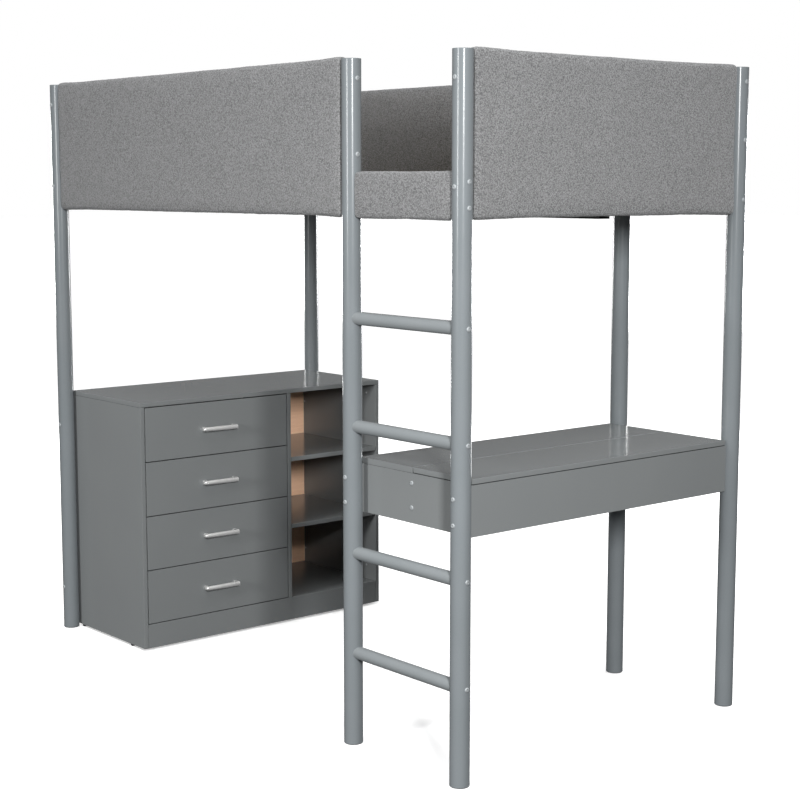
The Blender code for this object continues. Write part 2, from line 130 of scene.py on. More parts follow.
def mix(tree, factor, first, second, blend="MIX"):
    node = add_node(tree, "Mix", data_type="RGBA", blend_type=blend)
    for socket, value in zip((node.inputs[0], node.inputs[6], node.inputs[7]),
                             (factor, first, second)):
        if isinstance(value, bpy.types.NodeSocket):
            tree.links.new(value, socket)
        elif hasattr(value, "__len__"):
            socket.default_value = (*value, 1.0)
        else:
            socket.default_value = value
    return node.outputs[2]


def bump(tree, shader, height, distance, strength=1.0):
    node = add_node(tree, "Bump", {"Height": height, "Distance": distance, "Strength": strength})
    tree.links.new(node.outputs["Normal"], shader.inputs["Normal"])


def connect(tree, shader, colour=None, roughness=None):
    if colour is not None:
        tree.links.new(colour, shader.inputs["Base Color"])
    if roughness is not None:
        tree.links.new(roughness, shader.inputs["Roughness"])


# ---------------------------------------------------------------- materials
def frame_paint(name, dark, light):
    """Blue-grey satin powder coat: faint clouding, orange peel and specks."""
    material, tree, shader = new_material(name, Specular_IOR_Level=0.18)
    where = place(tree)
    cloud = noise_value(tree, where, 6.0, 3.0)
    speck = noise_value(tree, where, 900.0, 2.0)
    base = ramp(tree, cloud, [(0.3, dark), (0.7, light)])
    colour = mix(tree, 0.08, base, ramp(tree, speck, [(0.35, 0.10), (0.65, 0.28)]))
    peel = noise_value(tree, where, 420.0, 2.0)
    connect(tree, shader, colour, spread(tree, noise_value(tree, where, 35.0, 4.0), 0.19, 0.23))
    bump(tree, shader, peel, 0.00003, 0.4)
    return material


def board_paint():
    """Grey lacquered board: low gloss, faint roller texture, paler worn edges."""
    material, tree, shader = new_material("board_paint_look", Specular_IOR_Level=0.5)
    where = place(tree)
    cloud = noise_value(tree, where, 4.0, 4.0)
    fine = noise_value(tree, where, 700.0, 3.0)
    base = ramp(tree, cloud, [(0.3, (0.168, 0.178, 0.180)), (0.7, (0.176, 0.186, 0.187))])
    colour = mix(tree, 0.06, base, ramp(tree, fine, [(0.3, 0.13), (0.7, 0.26)]))
    soft = add_node(tree, "Bevel", {"Radius": 0.0016}, samples=4)
    geometry = add_node(tree, "NewGeometry")
    facing = add_node(tree, "VectorMath", {0: soft.outputs["Normal"],
                                           1: geometry.outputs["Normal"]},
                      operation="DOT_PRODUCT")
    edge = add_node(tree, "MapRange", {"Value": facing.outputs["Value"], "From Min": 0.99,
                                       "From Max": 0.85, "To Min": 0.0, "To Max": 0.15})
    worn = combine(tree, "MULTIPLY", edge.outputs["Result"],
                   spread(tree, noise_value(tree, where, 60.0, 4.0), 0.45, 1.0))
    colour = mix(tree, worn, colour, (0.27, 0.28, 0.28))
    connect(tree, shader, colour, spread(tree, noise_value(tree, where, 14.0, 5.0), 0.165, 0.20))
    bump(tree, shader, noise_value(tree, where, 260.0, 2.0), 0.00002, 0.35)
    return material


def wood(name, dark, light, streak, stretch, roughness):
    """Wood grain along the axis with the smallest stretch."""
    material, tree, shader = new_material(name)
    where = place(tree, stretch)
    warp = noise_value(tree, where, 1.6, 3.0, distortion=0.6)
    wave = add_node(tree, "TexWave", {"Vector": where, "Scale": 2.2, "Distortion": 5.0,
                                      "Detail": 3.0, "Detail Scale": 1.2},
                    wave_type="RINGS", rings_direction="SPHERICAL")
    grain = noise_value(tree, where, 26.0, 8.0, 0.7)
    rings = combine(tree, "ADD", combine(tree, "MULTIPLY", wave.outputs["Fac"], 0.45), 0.5)
    base = ramp(tree, combine(tree, "ADD", combine(tree, "MULTIPLY", rings, 0.5),
                              combine(tree, "MULTIPLY", warp, 0.5)),
                [(0.2, dark), (0.8, light)])
    pores = ramp(tree, grain, [(0.32, 0.0), (0.5, 1.0)])
    colour = mix(tree, 0.35, base, mix(tree, pores, streak, light))
    connect(tree, shader, colour, spread(tree, grain, *roughness))
    bump(tree, shader, grain, 0.0003, 0.5)
    return material


def raw_back():
    return wood("raw_back_look", (0.86, 0.510, 0.320), (0.99, 0.640, 0.430),
                (0.60, 0.340, 0.200), (30.0, 1.2, 22.0), (0.50, 0.66))


def pine():
    return wood("pine_look", (0.56, 0.40, 0.235), (0.74, 0.58, 0.38),
                (0.42, 0.26, 0.13), (24.0, 1.1, 24.0), (0.50, 0.72))


def box_foil():
    """Pale grey printed foil with a faint linen weave."""
    material, tree, shader = new_material("box_foil_look")
    where = place(tree)
    across = noise_value(tree, place(tree, (1200.0, 60.0, 60.0)), 1.0, 3.0)
    along = noise_value(tree, place(tree, (60.0, 1200.0, 1200.0)), 1.0, 3.0)
    linen = combine(tree, "MULTIPLY", combine(tree, "ADD", across, along), 0.5)
    cloud = noise_value(tree, where, 9.0, 3.0)
    colour = mix(tree, 0.3, ramp(tree, cloud, [(0.3, (0.50, 0.505, 0.505)), (0.7, 0.56)]),
                 ramp(tree, linen, [(0.35, 0.42), (0.65, 0.66)]))
    connect(tree, shader, colour, spread(tree, linen, 0.42, 0.58))
    bump(tree, shader, linen, 0.00012, 0.6)
    return material


def metal(name, dark, light, roughness, stretch, peel, metallic=1.0):
    """Metal with brushing or clouding, by how far the noise is stretched."""
    material, tree, shader = new_material(name, Metallic=metallic)
    brushed = noise_value(tree, place(tree, stretch), 1.0, 4.0, 0.65)
    cloud = noise_value(tree, place(tree), 70.0, 3.0)
    both = combine(tree, "ADD", combine(tree, "MULTIPLY", brushed, 0.6),
                   combine(tree, "MULTIPLY", cloud, 0.4))
    connect(tree, shader, ramp(tree, both, [(0.3, dark), (0.7, light)]),
            spread(tree, both, *roughness))
    bump(tree, shader, brushed, peel, 0.5)
    return material


def aluminium():
    return metal("aluminium_look", (0.70, 0.70, 0.69), (0.86, 0.86, 0.85), (0.34, 0.46),
                 (2600.0, 14.0, 2600.0), 0.00004, metallic=0.55)


def zinc():
    return metal("zinc_look", (0.27, 0.29, 0.30), (0.38, 0.40, 0.41), (0.58, 0.72),
                 (300.0, 300.0, 300.0), 0.00005, metallic=0.35)


def black_steel():
    """Black powder coat with a fine sandy texture."""
    material, tree, shader = new_material("black_steel_look")
    where = place(tree)
    sand = noise_value(tree, where, 1300.0, 2.0)
    cloud = noise_value(tree, where, 12.0, 3.0)
    colour = mix(tree, 0.4, ramp(tree, cloud, [(0.3, (0.020, 0.021, 0.023)), (0.7, 0.033)]),
                 ramp(tree, sand, [(0.35, 0.012), (0.65, 0.055)]))
    connect(tree, shader, colour, spread(tree, sand, 0.38, 0.62))
    bump(tree, shader, sand, 0.00015, 0.8)
    return material


def fleece():
    """Heathered grey curly pile: small curls, with painted shade darkening the pits between them.
    """
    material, tree, shader = new_material(
        "fleece_look", Sheen_Weight=0.25, Sheen_Roughness=0.45,
        Sheen_Tint=(0.80, 0.81, 0.82, 1.0), Specular_IOR_Level=0.15)
    where = place(tree)
    push = add_node(tree, "TexNoise", {"Vector": where, "Scale": 215.0, "Detail": 2.0})
    pushed = add_node(tree, "VectorMath", {0: push.outputs["Color"], 1: (0.5, 0.5, 0.5)},
                      operation="SUBTRACT")
    scaled = add_node(tree, "VectorMath", {0: pushed.outputs["Vector"], "Scale": 0.008},
                      operation="SCALE")
    moved = add_node(tree, "VectorMath", {0: where, 1: scaled.outputs["Vector"]}, operation="ADD")
    curl = add_node(tree, "TexVoronoi", {"Vector": moved.outputs["Vector"], "Scale": 275.0,
                                         "Randomness": 0.9}, feature="F1")
    tone = add_node(tree, "SeparateColor", {"Color": curl.outputs["Color"]})
    fibre = noise_value(tree, where, 900.0, 3.0, 0.7)
    heather = ramp(tree, tone.outputs["Red"],
                   [(0.0, (0.216, 0.218, 0.221)), (0.5, (0.252, 0.254, 0.257)),
                    (1.0, (0.292, 0.294, 0.297))])
    worn = ramp(tree, noise_value(tree, where, 5.0, 4.0), [(0.3, 0.485), (0.7, 0.515)])
    colour = mix(tree, 0.25, heather, ramp(tree, fibre, [(0.3, 0.16), (0.7, 0.36)]))
    colour = mix(tree, 1.0, colour, worn, "SOFT_LIGHT")
    # painted shade: each curl darkens from its middle to its edge, into the pits between the
    # curls
    pit_shade = ramp(tree, curl.outputs["Distance"], [(0.28, 1.0), (0.72, 0.46)])
    colour = mix(tree, 1.0, colour, pit_shade, "MULTIPLY")
    connect(tree, shader, colour, spread(tree, fibre, 0.82, 0.98))
    height = combine(tree, "SUBTRACT", combine(tree, "MULTIPLY", fibre, 0.3),
                     curl.outputs["Distance"])
    bump(tree, shader, height, 0.0024, 0.8)
    return material


def webbing():
    """Pale polyester strap, woven on the diagonal."""
    material, tree, shader = new_material("webbing_look", Sheen_Weight=0.2, Sheen_Roughness=0.5)
    weave = add_node(tree, "TexWave", {"Vector": place(tree), "Scale": 160.0,
                                       "Distortion": 0.6, "Detail": 1.0},
                     wave_type="BANDS", bands_direction="DIAGONAL")
    thread = noise_value(tree, place(tree, (900.0, 120.0, 900.0)), 1.0, 2.0)
    both = combine(tree, "ADD", combine(tree, "MULTIPLY", weave.outputs["Fac"], 0.6),
                   combine(tree, "MULTIPLY", thread, 0.4))
    connect(tree, shader, ramp(tree, both, [(0.2, 0.33), (0.8, 0.55)]),
            spread(tree, both, 0.75, 0.92))
    bump(tree, shader, both, 0.0003, 0.8)
    return material


LOOKS = {
    "frame_paint": frame_paint("frame_paint_look", (0.152, 0.170, 0.179),
                               (0.164, 0.181, 0.191)),
    "board_paint": board_paint(), "raw_back": raw_back(),
    "pine": pine(), "box_foil": box_foil(), "aluminium": aluminium(), "zinc": zinc(),
    "black_steel": black_steel(), "fleece": fleece(),
}
WEBBING = webbing()
# Painted light: a lighter copy of the frame paint for the rungs, standing in for the extra light
# they catch
RUNG_PAINT_LIT = frame_paint("rung_paint_lit_look", (0.200, 0.219, 0.226), (0.214, 0.232, 0.239))


WELD_GAP = 0.00002
NORMAL_WEIGHT = 100


def dress_cad_nodes():
    """Each CAD node takes the look of its own slot, and smooth light on its eased edges."""
    for node in NODES.values():
        slot = node.data.materials[0].name.split(".")[0]
        node.data.materials[0] = LOOKS[slot]
        node.data.shade_smooth()
        weld = node.modifiers.new("weld", "WELD")
        weld.merge_threshold = WELD_GAP
        normals = node.modifiers.new("normals", "WEIGHTED_NORMAL")
        normals.keep_sharp = False
        normals.weight = NORMAL_WEIGHT


# ---------------------------------------------------------------- mesh helpers
SHARP_ANGLE = math.radians(40)


def new_object(name, data):
    made = bpy.data.objects.new(name, data)
    bpy.context.scene.collection.objects.link(made)
    return made


def new_piece(name, mesh, slot, material=None):
    """A piece of the fixed frame, in its slot's look unless given a material."""
    piece = new_object(name, mesh)
    mesh.materials.append(material or LOOKS[slot])
    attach(piece, "frame")
    return piece


def turned_rings(mesh, rings, steps, tube=False):
    """Skins a list of functions of an angle, each one a closed ring of points. Its ends
    are capped, or in a tube the last ring joins the first."""
    angles = [2 * math.pi * i / steps for i in range(steps)]
    rows = [[mesh.verts.new(ring(a)) for a in angles] for ring in rings]
    for upper, lower in zip(rows, rows[1:] + ([rows[0]] if tube else [])):
        for i in range(steps):
            j = (i + 1) % steps
            mesh.faces.new((upper[i], lower[i], lower[j], upper[j]))
    if not tube:
        for row, turn in ((rows[0], 1), (rows[-1], -1)):
            mesh.faces.new(row[::turn])


def finished(name, mesh):
    """Mesh data from a bmesh, smooth but for its sharp edges. Frees the bmesh."""
    bmesh.ops.recalc_face_normals(mesh, faces=mesh.faces)
    data = bpy.data.meshes.new(name)
    mesh.to_mesh(data)
    mesh.free()
    data.shade_smooth()
    data.set_sharp_from_angle(angle=SHARP_ANGLE)
    return data


def ring_at(radius, height, centre):
    return lambda a: (centre[0] + radius * math.cos(a), centre[1] + radius * math.sin(a), height)


def lathe(name, profile, steps, centre, tube=False):
    """A turned shape from (radius, height) pairs."""
    mesh = bmesh.new()
    rings = [ring_at(radius, height, centre) for radius, height in profile]
    turned_rings(mesh, rings, steps, tube)
    return finished(name, mesh)


# ---------------------------------------------------------------- posts and rungs
POST_RIM = 0.0006
FOOT_REVEAL = 0.0015
CAP_DROP = 0.0010
CAP_DEPTH = 0.012
PLUG_DEPTH = 0.020
PRESS_FIT = 0.0002               # a cap or plug is this much smaller than the tube's bore


def make_posts():
    """Open tubes with a shallow cap in the top and a plug under the foot."""
    for name, middle in POSTS.items():
        low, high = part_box(name)
        top, centre = high.z, (middle.x, middle.y)
        inner = POST_RADIUS - POST_WALL
        tube = lathe(name + "_tube", [
            (POST_RADIUS, FOOT_REVEAL + POST_RIM), (POST_RADIUS, FOOT_REVEAL + 3 * POST_RIM),
            (POST_RADIUS, top - 3 * POST_RIM), (POST_RADIUS, top - POST_RIM),
            (POST_RADIUS - POST_RIM / 3, top - POST_RIM / 3), (POST_RADIUS - POST_RIM, top),
            (inner, top), (inner, FOOT_REVEAL), (POST_RADIUS - POST_RIM, FOOT_REVEAL)],
            POST_STEPS, centre, tube=True)
        piece = new_piece(name + "_tube", tube, "frame_paint")
        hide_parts(name)
        cap = lathe(name + "_cap", [
            (inner - PRESS_FIT, top - CAP_DEPTH), (inner - PRESS_FIT, top - CAP_DROP),
            (inner - 0.0010, top - 0.0003), (inner - 0.004, top - 0.0001), (0.004, top)],
            POST_STEPS, centre)
        new_piece(name + "_cap", cap, "frame_paint")
        plug = lathe(name + "_plug", [
            (inner - PRESS_FIT, PLUG_DEPTH), (inner - PRESS_FIT, FOOT_REVEAL - PRESS_FIT),
            (POST_RADIUS - 0.0012, FOOT_REVEAL - PRESS_FIT), (POST_RADIUS - 0.0012, 0.0005),
            (POST_RADIUS - 0.0020, 0.0)],
            POST_STEPS, centre)
        new_piece(name + "_plug", plug, "black_steel")


RUNG_STEPS = 64
RUNG_WALL = 0.0015


def make_rungs():
    """Tubes whose ends are coped to the round posts."""
    left, right = POSTS["post_middle_front"], POSTS["post_desk_front"]
    reach = POST_RADIUS + FIT

    def coped(post_x, side, radius, height):
        def point(a):
            across = radius * math.cos(a)
            x = post_x + side * math.sqrt(reach ** 2 - across ** 2)
            return (x, left.y + across, height + radius * math.sin(a))
        return point

    for name in RUNGS:
        height = centre_of(name).z
        inner = RUNG_RADIUS - RUNG_WALL
        mesh = bmesh.new()
        rings = [coped(left.x, 1, RUNG_RADIUS, height), coped(right.x, -1, RUNG_RADIUS, height),
                 coped(right.x, -1, inner, height), coped(left.x, 1, inner, height)]
        turned_rings(mesh, rings, RUNG_STEPS, tube=True)
        # painted light: the rungs take the lighter copy of the frame paint
        piece = new_piece(name + "_tube", finished(name + "_tube", mesh), "frame_paint",
                          material=RUNG_PAINT_LIT)
        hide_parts(name)


# ---------------------------------------------------------------- bolts, screws, glides
BOLT_RADIUS = 0.0064
BOLT_HEIGHT = 0.0026
BOLT_SINK = 0.0009
SOCKET_RADIUS = 0.0024
BOLT_STEPS = 36
DESK_BOLT_X = 0.772
DESK_BOLT_LEVELS = (0.742, 0.677)
SCREW_SCALE = 0.62
SCREW_PLACES = ((-0.615, 0.765), (-0.985, 0.697), (-0.985, 0.136), (-0.615, 0.136))   # x, z


def add_bolt(mesh, base, direction, scale=1.0):
    """A button-head bolt with a hexagon socket, its flat side sunk a little."""
    turn = Vector((0, 0, 1)).rotation_difference(Vector(direction)).to_matrix()

    def ring(radius, height, hexagon=False):
        def point(a):
            r = radius
            if hexagon:
                r /= math.cos((a % math.radians(60)) - math.radians(30))
            p = Vector((r * math.cos(a), r * math.sin(a), height)) * scale
            return Vector(base) + turn @ p
        return point

    top = BOLT_HEIGHT
    rings = [ring(BOLT_RADIUS, -BOLT_SINK), ring(BOLT_RADIUS, top * 0.22),
             ring(BOLT_RADIUS * 0.93, top * 0.52), ring(BOLT_RADIUS * 0.78, top * 0.80),
             ring(BOLT_RADIUS * 0.60, top * 0.96), ring(SOCKET_RADIUS * 1.22, top),
             ring(SOCKET_RADIUS, top * 0.94, True), ring(SOCKET_RADIUS, top * 0.30, True)]
    turned_rings(mesh, rings, BOLT_STEPS)


FRONT, BACK = (0, -1, 0), (0, 1, 0)
DESK_END, CABINET_END = (1, 0, 0), (-1, 0, 0)
RUNG_LEVELS = tuple(centre_of(name).z for name in RUNGS)
POST_BOLTS = (
    ("post_desk_front", FRONT, (1.762, 1.502, 0.738, 0.672)),
    ("post_desk_front", DESK_END, (1.514, 1.451) + RUNG_LEVELS),
    ("post_middle_front", DESK_END, (1.779, 1.585)),
    ("post_middle_front", FRONT, (0.735, 0.668)),
    ("post_middle_front", CABINET_END, RUNG_LEVELS),
    ("post_cabinet_front", FRONT, (1.764, 1.500, 0.7015, 0.142)),
    ("post_cabinet_front", CABINET_END, (1.789, 1.629, 1.464)),
    ("post_desk_back", DESK_END, (1.789, 1.629, 1.464)),
    ("post_desk_back", BACK, (1.762, 1.502, 0.738, 0.672)),
    ("post_middle_back", BACK, (1.779, 1.585, 0.735, 0.668)),
    ("post_cabinet_back", BACK, (1.764, 1.500, 0.7015, 0.142)),
    ("post_cabinet_back", CABINET_END, (1.789, 1.629, 1.464)),
)


def make_bolts():
    for post in POSTS:
        mesh = bmesh.new()
        for name, direction, heights in POST_BOLTS:
            if name != post:
                continue
            for height in heights:
                surface = POSTS[post] + Vector(direction) * POST_RADIUS
                add_bolt(mesh, (surface.x, surface.y, height), direction)
        new_piece(post + "_bolts", finished(post + "_bolts", mesh), "zinc")
    mesh = bmesh.new()
    for node, direction in (("desk_side_front", FRONT), ("desk_side_back", BACK)):
        low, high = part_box(node)
        face = low.y if direction == FRONT else high.y
        for height in DESK_BOLT_LEVELS:
            add_bolt(mesh, (DESK_BOLT_X, face, height), direction)
    new_piece("desk_side_bolts", finished("desk_side_bolts", mesh), "zinc")


def make_screws():
    """Screw heads that show inside the cabinet's open bays, both sides alike."""
    mesh = bmesh.new()
    inner_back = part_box("cabinet_side_back")[0].y
    inner_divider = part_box("cabinet_divider")[1].y
    for x, z in SCREW_PLACES:
        add_bolt(mesh, (x, inner_back, z), FRONT, SCREW_SCALE)
        add_bolt(mesh, (x, inner_divider, z), BACK, SCREW_SCALE)
    new_piece("cabinet_screws", finished("cabinet_screws", mesh), "zinc")


GLIDE_X = (("outer", -0.650), ("inner", -0.968))
GLIDE_STEPS = 32


def make_glides():
    """Four low plastic feet under the cabinet's sides."""
    for side in ("front", "back"):
        low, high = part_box("cabinet_side_" + side)
        for end, x in GLIDE_X:
            name = f"glide_{side}_{end}"
            y = (low.y + high.y) / 2
            data = lathe(name, [(0.0070, low.z - 0.0001), (0.0070, 0.0030), (0.0062, 0.0008),
                                (0.0050, 0.0)], GLIDE_STEPS, (x, y))
            new_piece(name, data, "black_steel")


# ---------------------------------------------------------------- slats on webbing straps
SLAT_COUNT = 13
SLAT_WIDTH = 0.062
SLAT_EDGE = 0.004
STRAP_HALF = 0.0125
STRAP_Y = 0.36
STRAP_END_ROOM = 0.004
STRAP_EDGE = 0.0004
SLAT_THICKNESS = 0.018
STAPLE_OFFSET = 0.005            # the two staples in a slat sit this far from its middle
STAPLE_HALF_WIRE = 0.0005
STAPLE_HALF_LENGTH = 0.0055
STAPLE_EDGE = 0.0003


def rounded_bar(mesh, low, high, radius, segments=3):
    """Adds a bar from corner to corner with all its edges rounded."""
    box = bmesh.ops.create_cube(mesh, size=1.0)["verts"]
    size, middle = high - low, (high + low) / 2
    for vert in box:
        vert.co = Vector(a * b for a, b in zip(vert.co, size)) + middle
    edges = {edge for vert in box for edge in vert.link_edges}
    bmesh.ops.bevel(mesh, geom=list(edges), offset=radius, segments=segments, profile=0.5,
                    affect="EDGES")


def make_slats():
    low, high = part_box("slat_roll")
    top = high.z
    under = top - SLAT_THICKNESS
    step = (high.x - low.x - SLAT_WIDTH) / (SLAT_COUNT - 1)
    mesh = bmesh.new()
    for i in range(SLAT_COUNT):
        x = low.x + SLAT_WIDTH / 2 + i * step
        rounded_bar(mesh, Vector((x - SLAT_WIDTH / 2, low.y, under)),
                    Vector((x + SLAT_WIDTH / 2, high.y, top)), SLAT_EDGE)
    slats = new_piece("slats", finished("slats", mesh), "pine")
    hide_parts("slat_roll")
    staples = bmesh.new()
    for side, y in (("front", -STRAP_Y), ("back", STRAP_Y)):
        strap = bmesh.new()
        rounded_bar(strap, Vector((low.x + STRAP_END_ROOM, y - STRAP_HALF, low.z)),
                    Vector((high.x - STRAP_END_ROOM, y + STRAP_HALF, under + 0.0001)),
                    STRAP_EDGE, 2)
        new_piece("strap_" + side, finished("strap_" + side, strap), "fleece", material=WEBBING)
        for i in range(SLAT_COUNT):
            x = low.x + SLAT_WIDTH / 2 + i * step
            for offset in (-STAPLE_OFFSET, STAPLE_OFFSET):
                left, right = x + offset - STAPLE_HALF_WIRE, x + offset + STAPLE_HALF_WIRE
                rounded_bar(staples, Vector((left, y - STAPLE_HALF_LENGTH, low.z - 0.0006)),
                            Vector((right, y + STAPLE_HALF_LENGTH, low.z + 0.0004)),
                            STAPLE_EDGE, 1)
    new_piece("strap_staples", finished("strap_staples", staples), "zinc")


# ---------------------------------------------------------------- padded guards
PAD_INSET = 0.004               # the pad starts smaller and swells to its size
EDGE_ROOM = 0.0025              # what subdivision takes back from its upper and lower edges
PAD_EDGE = 0.0105
PAD_CORNER = 0.020
PAD_PITCH = 0.019
PAD_SWELL = 0.0055
END_WRAP = 0.0065               # how far the ends of a guard reach round its posts
SEAM_WIDTH = 0.0022
SEAM_DEPTH = 0.0016
BOARD_HOLD = 0.12                # how much of the swelling in a guard's own plane is kept
SMOOTH_LEVELS = 2
POST_ROOM = 0.0004
CLOTH_FRAMES = 20
CLOTH_SETTINGS = {
    "quality": 5, "mass": 0.3, "tension_stiffness": 40.0, "compression_stiffness": 40.0,
    "shear_stiffness": 20.0, "bending_stiffness": 2.0, "use_pressure": True,
    "uniform_pressure_force": 4.0,
}


def stops(half, edge, pitch, seam=False):
    """Grid lines across one side of a slab: close over its rounded edges, even between."""
    core = half - edge
    arc = [core + edge * math.tan(math.radians(a)) for a in (15, 30, 45)]
    count = max(2, round(2 * core / pitch))
    middle = [-core + 2 * core * i / count for i in range(count + 1)]
    if seam:
        middle = [-core, -SEAM_WIDTH, 0.0, SEAM_WIDTH, core]
    return [-v for v in reversed(arc)] + middle + arc


def slab(half, edge, corner):
    """A closed grid over a box with rounded edges, and corners rounded in its plane.
    half is its half length, half height and half thickness."""
    lines = [stops(half[0], edge, PAD_PITCH), stops(half[1], edge, PAD_PITCH),
             stops(half[2], edge, PAD_PITCH, seam=True)]
    points, faces = {}, []

    def index(i, j, k):
        return points.setdefault((i, j, k), len(points))

    last = [len(line) - 1 for line in lines]
    for axis in range(3):
        u, v = [n for n in range(3) if n != axis]
        for side in (0, last[axis]):
            for a in range(last[u]):
                for b in range(last[v]):
                    corners = []
                    for da, db in ((0, 0), (1, 0), (1, 1), (0, 1)):
                        key = [0, 0, 0]
                        key[axis], key[u], key[v] = side, a + da, b + db
                        corners.append(index(*key))
                    faces.append(corners)
    grid = np.array([[lines[n][key[n]] for n in range(3)] for key in points])
    core = np.array(half) - edge
    inner = np.clip(grid, -core, core)
    out = grid - inner
    grid = inner + edge * out / np.linalg.norm(out, axis=1, keepdims=True)
    flat = np.array([half[0] - corner, half[1] - corner])
    beyond = np.clip((np.abs(grid[:, :2]) - flat) / corner, 0, None)
    s, t = beyond[:, 0], beyond[:, 1]
    rounded = np.stack([s * np.sqrt(1 - np.clip(t, 0, 1) ** 2 / 2),
                        t * np.sqrt(1 - np.clip(s, 0, 1) ** 2 / 2)], axis=1)
    grid[:, :2] = np.sign(grid[:, :2]) * np.where(
        beyond > 0, flat + corner * rounded, np.abs(grid[:, :2]))
    return grid, faces


def simulate(piece, cap, across):
    """Blows the cover up with cloth pressure and keeps each point within cap of its start.
    The board inside keeps the outline straight: points move mostly across the guard."""
    start = read_points(piece)
    cloth = piece.modifiers.new("pad", "CLOTH")
    for key, value in CLOTH_SETTINGS.items():
        setattr(cloth.settings, key, value)
    cloth.settings.effector_weights.gravity = 0.0
    cloth.point_cache.frame_start = 1
    cloth.point_cache.frame_end = CLOTH_FRAMES
    scene = bpy.context.scene
    for step in range(1, CLOTH_FRAMES + 1):
        scene.frame_set(step)
    graph = bpy.context.evaluated_depsgraph_get()
    blown = piece.evaluated_get(graph)
    moved = np.empty(len(blown.data.vertices) * 3, np.float32)
    blown.data.vertices.foreach_get("co", moved)
    piece.modifiers.remove(cloth)
    scene.frame_set(1)
    step = moved.reshape(-1, 3).astype(float) - start
    for axis in range(3):
        if axis != across:
            step[:, axis] *= BOARD_HOLD
    length = np.linalg.norm(step, axis=1, keepdims=True) + 1e-9
    write_points(piece, start + step / length * cap * np.tanh(length / cap))


def read_points(piece):
    flat = np.empty(len(piece.data.vertices) * 3, np.float32)
    piece.data.vertices.foreach_get("co", flat)
    return flat.reshape(-1, 3).astype(float)


def read_normals(piece):
    flat = np.empty(len(piece.data.vertices) * 3, np.float32)
    piece.data.vertices.foreach_get("normal", flat)
    return flat.reshape(-1, 3)


def write_points(piece, points):
    piece.data.vertices.foreach_set("co", points.astype(np.float32).ravel())
    piece.data.update()


def apply_modifiers(piece):
    graph = bpy.context.evaluated_depsgraph_get()
    data = bpy.data.meshes.new_from_object(piece.evaluated_get(graph))
    old = piece.data
    piece.modifiers.clear()
    piece.data = data
    data.name = piece.name
    bpy.data.meshes.remove(old)


def subdivide(piece):
    smooth = piece.modifiers.new("smooth", "SUBSURF")
    smooth.levels = smooth.render_levels = SMOOTH_LEVELS
    apply_modifiers(piece)


def keep_clear_of_posts(points):
    """Moves points that lie in a post straight out to its surface."""
    for middle in POSTS.values():
        away = points[:, :2] - np.array([middle.x, middle.y])
        distance = np.linalg.norm(away, axis=1)
        inside = distance < POST_RADIUS + POST_ROOM
        points[inside, :2] += (away[inside] / distance[inside, None]
                               * (POST_RADIUS + POST_ROOM - distance[inside, None]))
    return points


PILE = ((0.0009, 9.0), (0.0005, 31.0), (0.0007, 150.0))   # height and scale, coarse to fine


def add_pile(points, normals):
    """Uneven stuffing, and the pile's curls, along the surface normals."""
    lift = np.empty(len(points))
    for i, point in enumerate(points):
        where = Vector(point)
        lift[i] = sum(height * noise.noise(where * scale) for height, scale in PILE)
    return points + normals * lift[:, None]


def make_guard(node):
    """A padded cover over one guard board: swollen, sewn, subdivided and given its pile."""
    low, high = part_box(node)
    size, middle = high - low, (low + high) / 2
    along_x = size.x > size.y
    length = (size.x if along_x else size.y) / 2 + END_WRAP
    thick = (size.y if along_x else size.x) / 2
    half = (length, size.z / 2 + EDGE_ROOM, thick - PAD_INSET)
    grid, faces = slab(half, min(PAD_EDGE, half[2] - SEAM_WIDTH - 0.001), PAD_CORNER)
    long, up, across = grid[:, 0], grid[:, 1], grid[:, 2]
    local = np.stack([long, across, up] if along_x else [across, long, up], axis=1)
    points = keep_clear_of_posts(local + np.array(middle))
    data = bpy.data.meshes.new(node + "_pad")
    data.from_pydata(points.tolist(), [], faces)
    mesh = bmesh.new()
    mesh.from_mesh(data)
    bmesh.ops.recalc_face_normals(mesh, faces=mesh.faces)
    mesh.to_mesh(data)
    mesh.free()
    piece = new_object(node + "_pad", data)
    side = 1 if along_x else 0
    simulate(piece, PAD_SWELL, side)
    sew_seam(piece, across)
    subdivide(piece)
    piece.data.shade_smooth()
    points = add_pile(read_points(piece), read_normals(piece).astype(float))
    write_points(piece, keep_clear_of_posts(points))
    piece.data.materials.clear()
    piece.data.materials.append(LOOKS["fleece"])
    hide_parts(node)
    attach(piece, "frame")


def sew_seam(piece, across):
    """Pulls in the line where the front and back covers are sewn together."""
    points = read_points(piece)
    on_line = np.abs(across) < SEAM_WIDTH / 2
    points[on_line] -= read_normals(piece)[on_line] * SEAM_DEPTH
    write_points(piece, points)


def make_guards():
    for node in sorted(NODES):
        if node.startswith("guard_"):
            make_guard(node)


# ---------------------------------------------------------------- camera, floor and light
CAMERA_LENS = 75.04              # mm, on a sensor 36 mm wide
CAMERA_SENSOR = 36.0
CAMERA_PLACE = (4.01074, -3.23391, 1.51443)
CAMERA_DOWN = 7.4594             # degrees below the horizon
CAMERA_TURN = 50.1035            # degrees from looking along +Y
FLOOR_HALF = 60.0
FLOOR_DROP = 0.0006
FLOOR_GLOW = 0.34
ROOM_COLOUR = (0.97, 0.985, 1.0, 1.0)
TOWARDS_BACKDROP = (-0.767, 0.641, 0.0)
LIGHT_AIM = (0.3, 0.0, 1.3)
SOFT_BOXES = (                   # name, place, width, height, radiance
    ("soft_box_left", (0.6, -6.2, 2.0), 0.5, 1.4, 105.0),
    ("soft_box_right", (4.45, -2.5, 2.2), 0.5, 0.9, 184.0),
    ("soft_box_back", (-1.0, 5.4, 1.3), 1.6, 1.2, 42.0),
    ("soft_box_far", (-5.6, 0.9, 1.3), 1.6, 1.2, 26.0),
)


def make_camera():
    data = bpy.data.cameras.new("camera")
    data.lens = CAMERA_LENS
    data.sensor_width = CAMERA_SENSOR
    camera = new_object("camera", data)
    camera.location = CAMERA_PLACE
    camera.rotation_euler = (math.radians(90 - CAMERA_DOWN), 0.0, math.radians(CAMERA_TURN))
    bpy.context.scene.camera = camera


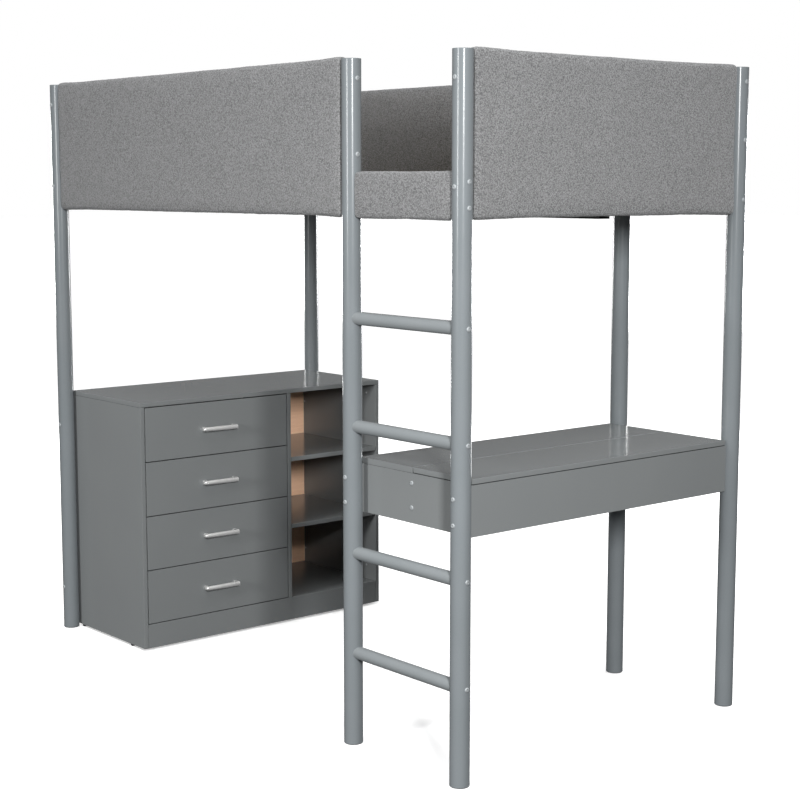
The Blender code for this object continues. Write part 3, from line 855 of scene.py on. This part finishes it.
def make_floor():
    """A pale floor that glows a little. It lights nothing, so undersides stay dark."""
    mesh = bmesh.new()
    bmesh.ops.create_grid(mesh, x_segments=2, y_segments=2, size=FLOOR_HALF)
    floor = new_object("floor", finished("floor", mesh))
    floor.location = (0.0, 0.0, -FLOOR_DROP)
    material, tree, shader = new_material("floor_look", Specular_IOR_Level=0.1)
    where = place(tree)
    colour = ramp(tree, noise_value(tree, where, 2.0, 3.0), [(0.3, 0.90), (0.7, 0.92)])
    connect(tree, shader, colour, spread(tree, noise_value(tree, where, 20.0), 0.85, 0.95))
    shader.inputs["Emission Color"].default_value = (1.0, 1.0, 1.0, 1.0)
    shader.inputs["Emission Strength"].default_value = FLOOR_GLOW
    floor.data.materials.append(material)
    floor.visible_diffuse = floor.visible_glossy = False


def add_soft_box(name, place_at, width, height, radiance):
    """A soft box. Its power follows from the brightness wanted and its size."""
    data = bpy.data.lights.new(name, "AREA")
    data.shape = "RECTANGLE"
    data.size, data.size_y = width, height
    data.energy = radiance * width * height * math.pi
    light = new_object(name, data)
    light.location = place_at
    aim = Vector(LIGHT_AIM) - Vector(place_at)
    light.rotation_euler = aim.to_track_quat("-Z", "Y").to_euler()


def add_sky(name, direction, strength, spread_angle):
    """One broad overhead light, alike all over the floor."""
    data = bpy.data.lights.new(name, "SUN")
    data.energy = strength
    data.angle = spread_angle
    light = new_object(name, data)
    light.rotation_euler = Vector(direction).to_track_quat("-Z", "Y").to_euler()


def make_world(front, behind, backdrop):
    """The room's light, dim in front of the object and paler behind it, where the
    camera sees a plain pale backdrop."""
    world = bpy.data.worlds.new("studio")
    world.use_nodes = True
    tree = world.node_tree
    room = tree.nodes["Background"]
    room.inputs["Color"].default_value = ROOM_COLOUR
    coordinates = add_node(tree, "TexCoord")
    facing = add_node(tree, "VectorMath", {0: coordinates.outputs["Generated"],
                                           1: TOWARDS_BACKDROP}, operation="DOT_PRODUCT")
    level = add_node(tree, "MapRange", {"Value": facing.outputs["Value"], "From Min": -0.1,
                                        "From Max": 0.7, "To Min": front, "To Max": behind},
                     interpolation_type="SMOOTHSTEP")
    tree.links.new(level.outputs["Result"], room.inputs["Strength"])
    pale = add_node(tree, "Background", {"Color": (1.0, 1.0, 1.0, 1.0), "Strength": backdrop})
    seen = add_node(tree, "LightPath")
    both = add_node(tree, "MixShader", {0: seen.outputs["Is Camera Ray"],
                                        1: room.outputs["Background"],
                                        2: pale.outputs["Background"]})
    tree.links.new(both.outputs["Shader"], tree.nodes["World Output"].inputs["Surface"])
    bpy.context.scene.world = world


def make_light():
    """Two tall soft boxes make the posts' twin highlights, two behind light the back."""
    make_world(front=0.09, behind=0.22, backdrop=1.0)
    for box in SOFT_BOXES:
        add_soft_box(*box)
    add_sky("overhead", (-0.20, 0.15, -1.0), 2.2, math.radians(60))
    bpy.context.scene.view_settings.view_transform = "Standard"


dress_cad_nodes()
make_camera()
make_floor()
make_light()
make_posts()
make_rungs()
make_bolts()
make_screws()
make_glides()
make_slats()
make_guards()
